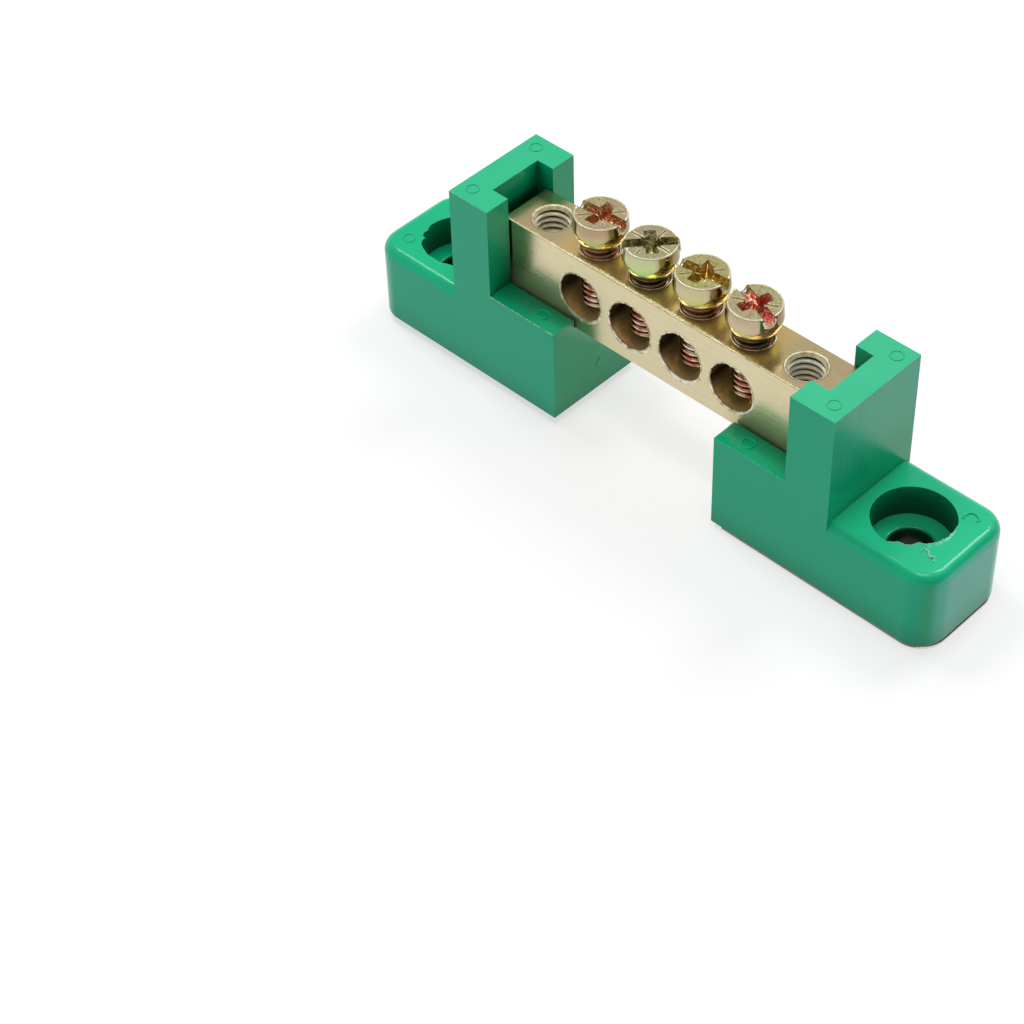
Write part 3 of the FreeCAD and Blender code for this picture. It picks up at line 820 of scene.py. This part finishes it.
def way_rim(x, face, out, seed):
    """Deburred lip of one wire way: a wide bright crescent below, torn teeth above."""
    dice = random.Random(seed)
    centre = Vector((x, face, bar_low.z + WIRE_UP))
    rings = []
    for k in range(WAY_POINTS):
        angle = math.tau * k / WAY_POINTS
        lower = max(0.0, math.cos(angle + math.radians(90))) ** 0.5
        wide = (0.03 + (0.34 + 0.1 * smooth_random(angle * 2.5, seed)) * lower) * MM
        tooth = (0.03 + (0.17 if lower < 0.05 else 0.05) * dice.random()) * MM
        spoke = Vector((math.cos(angle), 0, math.sin(angle)))
        profile = [(wide, -0.003 * MM), (wide * 0.55, 0.05 * MM), (-tooth, 0.02 * MM),
                   (-tooth * 0.6, -0.15 * MM)]
        rings.append([centre + spoke * (WIRE_RADIUS + across) + Vector((0, out * up, 0))
                      for across, up in profile])
    bm = bmesh.new()
    skin(bm, rings, closed_rings=False, closed_row=True)
    bmesh.ops.recalc_face_normals(bm, faces=bm.faces)
    return bm


for number, node in enumerate(CLAMP_SCREWS):
    x = box_middle(node).x
    for name, face, out in (("front", bar_low.y, -1), ("back", bar_high.y, 1)):
        rim = way_rim(x, face, out, number * 2 + out)
        add_piece("wire_way_rim_%s_%d" % (name, number + 1), rim, [CUT_BRASS], ROOT, sharp=30.0)


# Burr rolled over along the bar's front top edge
EDGE_MARGIN = 0.2 * MM
EDGE_RUN = bar_high.x - bar_low.x - 2 * EDGE_MARGIN
BEAD_PITCH = 0.29 * MM
EDGE_STEPS = 400


def burr_strength(x):
    """How strongly the edge is burred, most of all beside the screws."""
    return 0.35 + 0.65 * math.exp(-((x + 1.5 * MM) / (10.5 * MM)) ** 4)


def edge_beads():
    """Beads that the burr rolled into."""
    dice = random.Random(11)
    bm = bmesh.new()
    for k in range(int(EDGE_RUN / BEAD_PITCH)):
        x = bar_low.x + EDGE_MARGIN + (k + dice.uniform(0.3, 0.7)) * BEAD_PITCH
        size = burr_strength(x) * dice.uniform(0.75, 1.2) * MM
        spot = Vector((x, bar_low.y + (0.17 + 0.05 * dice.random()) * MM, bar_high.z + 0.03 * MM))
        lump(bm, spot, (0.17 * size, 0.15 * size, 0.12 * size), dice.random())
    return bm


def rolled_edge():
    """Rolled band of the burr, with a shaded lower lip."""
    dice = random.Random(12)
    inward = Vector((0, 1, 0))
    rings = []
    for k in range(EDGE_STEPS + 1):
        x = bar_low.x + EDGE_MARGIN + EDGE_RUN * k / EDGE_STEPS
        strong = burr_strength(x)
        wide = (0.34 * strong + 0.03 * dice.random()) * MM
        rise = 0.03 * strong * MM
        profile = [(wide, -0.01 * MM), (wide * 0.8, rise), (wide * 0.3, rise), (-0.012 * MM, -0.03 * MM),
                   (-0.016 * MM, -0.1 * strong * MM), (0.01 * MM, -0.12 * MM)]
        rings.append(section(Vector((x, bar_low.y, bar_high.z)), inward, profile))
    bm = bmesh.new()
    skin(bm, rings)
    for face in bm.faces:
        if face.calc_center_median().z < bar_high.z - 0.04 * MM:
            face.material_index = 1
    return bm


add_piece("bus_bar_edge_beads", edge_beads(), [BURR_BRASS], ROOT, sharp=20.0)
add_piece("bus_bar_rolled_edge", rolled_edge(), [ROLLED_BRASS, SHADED_BRASS], ROOT, sharp=40.0)

# Clamp screws: barrel heads on threaded shanks, each with its own tint
SIDES = [
    [(158, 138, 104), (170, 178, 114), (176, 186, 120), (184, 170, 122), (176, 148, 122), (168, 158, 110)],
    [(148, 146, 106), (164, 186, 116), (176, 204, 126), (184, 200, 140), (190, 184, 150), (170, 166, 114)],
    [(158, 142, 106), (182, 186, 120), (194, 194, 124), (196, 186, 140), (186, 166, 150), (176, 174, 108)],
    [(148, 140, 104), (184, 190, 120), (196, 190, 132), (196, 174, 150), (180, 164, 130), (172, 174, 116)],
]
FACES = [(220, 206, 158), (206, 206, 160), (214, 212, 140), (214, 208, 156)]
RECESSES = [
    [(214, 120, 76), (242, 172, 96), (252, 226, 184), (224, 134, 134), (238, 200, 100)],
    [(116, 122, 66), (150, 156, 88), (210, 214, 168), (128, 132, 72), (170, 176, 116)],
    [(206, 118, 58), (242, 184, 76), (208, 228, 88), (250, 232, 170), (216, 114, 62)],
    [(230, 100, 72), (248, 156, 104), (246, 110, 146), (252, 224, 196), (232, 98, 64)],
]
NECK_TONES = [(128, 88, 66), (66, 66, 38), (120, 84, 66), (60, 62, 34)]
# Shank threads: painted shade at the root and painted highlights on the crest.
SHANK_TONES = ((46, 24, 14), [(196, 128, 100), (244, 216, 196)])


def clamp_head(node, seed):
    """The head alone: rounded barrel, broken edges and a rough driver recess."""
    bm = solid_of(node)
    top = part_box(node)[1].z
    seat = top - HEAD_HIGH
    middle = box_middle(node)
    shank = [v for v in bm.verts if v.co.z < seat - 0.01 * MM]
    bmesh.ops.delete(bm, geom=shank, context="VERTS")

    def barrel(edge):
        level = abs(edge.verts[0].co.z - edge.verts[1].co.z) < 1e-6
        return level and seat + 0.3 * MM < edge.verts[0].co.z < top - 1.2 * MM

    round_edges(bm, 0.42 * MM, sharper=14.0, softer=40.0, steps=4, wanted=barrel)
    round_edges(bm, 0.09 * MM, sharper=30.0, steps=3, material=1)

    def off_axis(point):
        return math.hypot(point.x - middle.x, point.y - middle.y)

    def in_recess(face):
        spot = face.calc_center_median()
        out = Vector((spot.x - middle.x, spot.y - middle.y, 0))
        outward = face.normal.dot(out.normalized()) > 0.6 and out.length > 2.2 * MM
        return seat + 0.62 * MM < spot.z < top - 0.03 * MM and not outward and out.length < 2.5 * MM

    bmesh.ops.triangulate(bm, faces=[face for face in bm.faces if in_recess(face)])
    sunk = [face for face in bm.faces if in_recess(face)]
    edges = list({edge for face in sunk for edge in face.edges if edge.calc_length() > 0.25 * MM})
    bmesh.ops.subdivide_edges(bm, edges=edges, cuts=2, use_grid_fill=True)
    for vert in bm.verts:
        if off_axis(vert.co) < 2.3 * MM and seat + 0.7 * MM < vert.co.z < top - 0.1 * MM:
            vert.co += noise.noise_vector(vert.co / (0.4 * MM) + Vector((seed, 0, 0))) * 0.1 * MM
    return bm


def clamp_shank(node):
    """Threaded shank with a tapered tip."""
    low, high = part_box(node)
    middle = box_middle(node)
    seat = high.z - HEAD_HIGH

    def turned(z, ridge):
        full = SHANK_RADIUS - THREAD_DEPTH * (1.0 - ridge)
        taper = 1.4 * MM + (z - low.z) * 1.25
        return min(full, taper)

    bm = bmesh.new()
    rows = skin(bm, thread_wall(Vector((middle.x, middle.y, 0)), low.z, seat + 0.06 * MM, turned))
    bm.faces.new(rows[0])
    return bm


# Lumps at the slot's ends: degrees from the slot, drop and size in millimetres
SLOT_LUMPS = [(200, 0.02, 0.2), (163, 0.06, 0.12), (-16, 0.2, 0.13), (15, 0.08, 0.1)]
LIP_STEPS = 32


def head_burrs(node, slot_angle, seed):
    """Torn lips and lumps where the slot breaks out of the rim."""
    dice = random.Random(seed)
    middle = box_middle(node)
    face = Vector((middle.x, middle.y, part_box(node)[1].z))
    bm = bmesh.new()
    for half in (0, 180):
        out = around(math.radians(slot_angle + half))
        across = out.cross(Vector((0, 0, 1)))
        rings = []
        for k in range(LIP_STEPS + 1):
            turn = math.pi * (0.02 + 0.96 * k / LIP_STEPS)
            depth = SLOT_DEEP * math.sin(turn) ** 0.6
            spread = -math.cos(turn) * (SLOT_HALF + 0.05 * MM)
            waver = 0.05 * smooth_random(k * 0.35, seed * 3.1 + half) * MM
            flare = 0.16 * MM * min(1.0, depth / (0.6 * MM)) + 0.02 * MM
            reach = math.sqrt(FACE_RADIUS ** 2 - spread ** 2) + flare
            spot = face + out * reach + across * (spread + waver) + Vector((0, 0, 0.02 * MM - depth))
            thick = (0.06 + 0.05 * dice.random()) * MM
            inward = (across * math.cos(turn) + Vector((0, 0, math.sin(turn)))) * thick
            rings.append([spot - inward, spot + out * thick * 0.8, spot + inward, spot - out * thick])
        skin(bm, rings)
    for turn, drop, size in SLOT_LUMPS:
        out = around(math.radians(slot_angle + turn))
        spot = face - Vector((0, 0, drop * MM)) + out * (FACE_RADIUS - 0.12 * MM)
        wide = size * dice.uniform(0.8, 1.3) * MM
        lump(bm, spot, (wide, wide, 0.6 * wide), dice.random())
    return bm


# Cross section of the bright rim, in shares of its width and height
RIM_PROFILE = [(-1.0, -0.6), (-0.6, 0.6), (0.0, 1.0), (0.6, 0.7), (1.1, -0.4), (1.1, -1.6)]
RIM_STEPS = 60
TICK_STEPS = 8


def tick_ridge(bm, face, turn, lean, dice):
    """Raised edge of one scribed tick."""
    start, end = dice.uniform(0.9, 1.2) * MM, dice.uniform(2.1, 2.5) * MM
    side = around(turn + math.pi / 2) * 0.075 * MM
    rings = []
    for k in range(TICK_STEPS + 1):
        reach = start + (end - start) * k / TICK_STEPS
        spot = face + around(turn + lean * 1.6 * MM / reach) * reach + Vector((0, 0, 0.01 * MM))
        tall = Vector((0, 0, (0.05 + 0.05 * dice.random()) * MM))
        rings.append([spot - side - tall, spot + tall, spot + side - tall])
    skin(bm, rings, closed_rings=False)


def rim_arc(bm, face, start_angle, dice):
    """Bright rim from one end of the slot to the other."""
    rings = []
    for k in range(RIM_STEPS + 1):
        out = around(math.radians(start_angle + 152 * k / RIM_STEPS))
        centre = face + out * (FACE_RADIUS - (0.1 + 0.02 * dice.random()) * MM)
        wide, tall = (0.075 + 0.015 * dice.random()) * MM, (0.045 + 0.015 * dice.random()) * MM
        tall *= min(1.0, min(k, RIM_STEPS - k) / 3)
        rings.append(section(centre, out, [(a * wide, b * tall - 0.01 * MM) for a, b in RIM_PROFILE]))
    skin(bm, rings, closed_rings=False)


def tick_ridges(node, slot_angle, seed):
    """Raised bright edges of the rim and of the scribed ticks."""
    dice = random.Random(seed)
    middle = box_middle(node)
    face = Vector((middle.x, middle.y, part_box(node)[1].z))
    bm = bmesh.new()
    for quarter in range(4):
        for lean in (-7, 6):
            tick_ridge(bm, face, math.radians(slot_angle + 45 + 90 * quarter), math.radians(lean), dice)
    for half in (0, 180):
        rim_arc(bm, face, slot_angle + half + 14, dice)
    return bm


def hole_rim(x):
    """Bright broken rim of one clamping hole."""
    bm = bmesh.new()
    ring_mark(bm, Vector((x, 0, bar_high.z)), HOLE_RIM_RADIUS, 0.08 * MM, 0.018 * MM, count=72)
    return bm


def make_clamp_screw(node, number):
    """Head, shank, burrs and hole rim of one clamp screw."""
    body = "screw_%d" % number
    tag = "_%d" % number
    own = number - 1
    middle = box_middle(node)
    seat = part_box(node)[1].z - HEAD_HIGH
    ticks = tick_ridges(node, SLOT_ANGLES[own], 40 + own)
    add_piece("clamp_ticks" + tag, ticks, [ZINC_EDGE], body, sharp=60.0)
    add_piece("clamp_hole_rim" + tag, hole_rim(middle.x), [CUT_BRASS], ROOT)
    zinc = plated_steel("clamp_zinc" + tag, middle, seat, SIDES[own], FACES[own], RECESSES[own], own * 3.7)
    thread = thread_metal("clamp_thread" + tag, middle, SHANK_RADIUS - 0.3 * MM, SHANK_RADIUS - 0.1 * MM,
                          *SHANK_TONES, 0.2, neck=bar_high.z, neck_tone=NECK_TONES[own])
    head = clamp_head(node, own * 5.0)
    add_piece("clamp_head" + tag, head, [zinc, ZINC_EDGE], body, node, sharp=38.0, weigh=True)
    add_piece("clamp_shank" + tag, clamp_shank(node), [thread], body, sharp=80.0)
    add_piece("clamp_burrs" + tag, head_burrs(node, SLOT_ANGLES[own], own), [ZINC_EDGE], body, sharp=20.0)


for number, node in enumerate(CLAMP_SCREWS, 1):
    make_clamp_screw(node, number)

# Folded earthing strip
bm = solid_of("earth_strip")
round_edges(bm, 0.05 * MM)
add_piece("earth_strip_sheet", bm, [strip_brass()], ROOT, "earth_strip", sharp=50.0, weigh=True)

# Fixing screws under the feet
for node in ("foot_screw_left", "foot_screw_right"):
    middle = box_middle(node)
    zinc = plated_steel(node + "_zinc", middle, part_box(node)[0].z - HEAD_HIGH,
                        SIDES[2], FACES[2], RECESSES[1], 21.0 + middle.x * 100)
    bm = solid_of(node)
    round_edges(bm, 0.06 * MM)
    add_piece(node + "_turned", bm, [zinc], ROOT, node, sharp=35.0, weigh=True)


# Camera, where the photograph was taken from
AZIMUTH = math.radians(45.845)
ELEVATION = math.radians(45.127)
ROLL = math.radians(-2.313)
DISTANCE = 263.59 * MM
ORIGIN_RIGHT = 16.216 * MM
ORIGIN_UP = 7.329 * MM
ORIGIN_LIFT = 0.4 * MM
FOCAL_PIXELS = 2613.26
IMAGE_PIXELS = 1024.0
SENSOR_WIDTH = 36.0
CLIP_START = 10 * MM


def new_object(name, data):
    """Object that is part of the scene but not of the product."""
    made = bpy.data.objects.new(name, data)
    bpy.context.scene.collection.objects.link(made)
    return made


def add_camera():
    back = Vector((math.sin(AZIMUTH) * math.cos(ELEVATION),
                   -math.cos(AZIMUTH) * math.cos(ELEVATION), math.sin(ELEVATION)))
    level = (-back).cross(Vector((0, 0, 1))).normalized()
    rise = level.cross(-back)
    right = math.cos(ROLL) * level + math.sin(ROLL) * rise
    up = math.cos(ROLL) * rise - math.sin(ROLL) * level
    place = Vector((0, 0, ORIGIN_LIFT)) + back * DISTANCE - right * ORIGIN_RIGHT - up * ORIGIN_UP
    lens = bpy.data.cameras.new("camera")
    lens.sensor_width = SENSOR_WIDTH
    lens.lens = FOCAL_PIXELS / IMAGE_PIXELS * SENSOR_WIDTH
    lens.clip_start = CLIP_START
    camera = new_object("camera", lens)
    camera.matrix_world = Matrix.Translation(place) @ Matrix((right, up, back)).transposed().to_4x4()
    bpy.context.scene.camera = camera


# Lamps: name, direction from the object, distance and edge length in metres, radiance
LAMPS = [
    ("key_left", (-0.5, 0.03, 0.85), 0.55, 0.16, 9.0),
    ("key_back", (0.03, 0.57, 0.82), 0.55, 0.17, 8.0),
    ("overhead", (0.05, -0.1, 1.0), 0.6, 0.24, 3.5),
]
AIM_UP = 12 * MM


def add_lamp(name, direction, distance, size, radiance):
    """Soft square lamp aimed at the object."""
    lamp = bpy.data.lights.new(name, "AREA")
    lamp.shape = "RECTANGLE"
    lamp.size = lamp.size_y = size
    lamp.energy = radiance * math.pi * size * size
    target = Vector((0, 0, AIM_UP))
    place = target + Vector(direction).normalized() * distance
    piece = new_object(name, lamp)
    piece.location = place
    piece.rotation_euler = (place - target).to_track_quat("Z", "Y").to_euler()


# Levels of the floor and of the surroundings, and where the surroundings change from one to the other
FLOOR_HALF = 3.0
FLOOR_LIFT = 0.6
FLOOR_GREY = 0.45
HORIZON = 0.95
CEILING = 0.5
SIDE_DIM = 0.5
FRONT_DIM = 0.8
UPWARD = (0.02, 0.45)
SIDEWAYS = (-0.2, 0.9)
FORWARD = (0.2, -0.9)


def add_floor():
    """Pale floor that reads white, also in reflections, and keeps the object's shadow."""
    bm = bmesh.new()
    bmesh.ops.create_grid(bm, x_segments=1, y_segments=1, size=FLOOR_HALF)
    mesh = bpy.data.meshes.new("floor")
    bm.to_mesh(mesh)
    bm.free()
    material = bpy.data.materials.new("floor_white")
    material.use_nodes = True
    tree = material.node_tree
    tree.nodes.remove(tree.nodes["Principled BSDF"])
    matt = tree.nodes.new("ShaderNodeBsdfDiffuse")
    matt.inputs["Color"].default_value = (FLOOR_GREY, FLOOR_GREY, FLOOR_GREY, 1.0)
    path = tree.nodes.new("ShaderNodeLightPath").outputs
    seen = path["Is Camera Ray"]
    for kind in ("Is Glossy Ray", "Is Transmission Ray"):
        either = tree.nodes.new("ShaderNodeMath")
        either.operation = "MAXIMUM"
        tree.links.new(seen, either.inputs[0])
        tree.links.new(path[kind], either.inputs[1])
        seen = either.outputs[0]
    share = tree.nodes.new("ShaderNodeMath")
    share.operation = "MULTIPLY"
    share.inputs[1].default_value = FLOOR_LIFT
    tree.links.new(seen, share.inputs[0])
    lift = tree.nodes.new("ShaderNodeEmission")
    tree.links.new(share.outputs[0], lift.inputs["Strength"])
    both = tree.nodes.new("ShaderNodeAddShader")
    tree.links.new(matt.outputs[0], both.inputs[0])
    tree.links.new(lift.outputs[0], both.inputs[1])
    tree.links.new(both.outputs[0], tree.nodes["Material Output"].inputs["Surface"])
    mesh.materials.append(material)
    floor = new_object("floor", mesh)


def add_world():
    """Pale surroundings under a dimmer ceiling."""
    world = bpy.data.worlds.new("studio")
    bpy.context.scene.world = world
    world.use_nodes = True
    tree = world.node_tree
    ground = tree.nodes["Background"]
    coords = tree.nodes.new("ShaderNodeTexCoord")
    parts = tree.nodes.new("ShaderNodeSeparateXYZ")
    tree.links.new(coords.outputs["Generated"], parts.inputs[0])
    fall = tree.nodes.new("ShaderNodeMapRange")
    fall.interpolation_type = "SMOOTHSTEP"
    for socket, number in zip(fall.inputs[1:5], (*UPWARD, HORIZON, CEILING)):
        socket.default_value = number
    tree.links.new(parts.outputs[2], fall.inputs[0])
    level = fall.outputs[0]
    for part, turn, dim in ((0, SIDEWAYS, SIDE_DIM), (1, FORWARD, FRONT_DIM)):
        shade = tree.nodes.new("ShaderNodeMapRange")
        shade.interpolation_type = "SMOOTHSTEP"
        for socket, number in zip(shade.inputs[1:5], (*turn, 1.0, dim)):
            socket.default_value = number
        tree.links.new(parts.outputs[part], shade.inputs[0])
        product = tree.nodes.new("ShaderNodeMath")
        product.operation = "MULTIPLY"
        tree.links.new(level, product.inputs[0])
        tree.links.new(shade.outputs[0], product.inputs[1])
        level = product.outputs[0]
    tree.links.new(level, ground.inputs["Strength"])
    ground.inputs["Color"].default_value = (1.0, 1.0, 1.0, 1.0)


bpy.context.scene.view_settings.view_transform = "Standard"
add_camera()
add_floor()
add_world()
for lamp_row in LAMPS:
    add_lamp(*lamp_row)
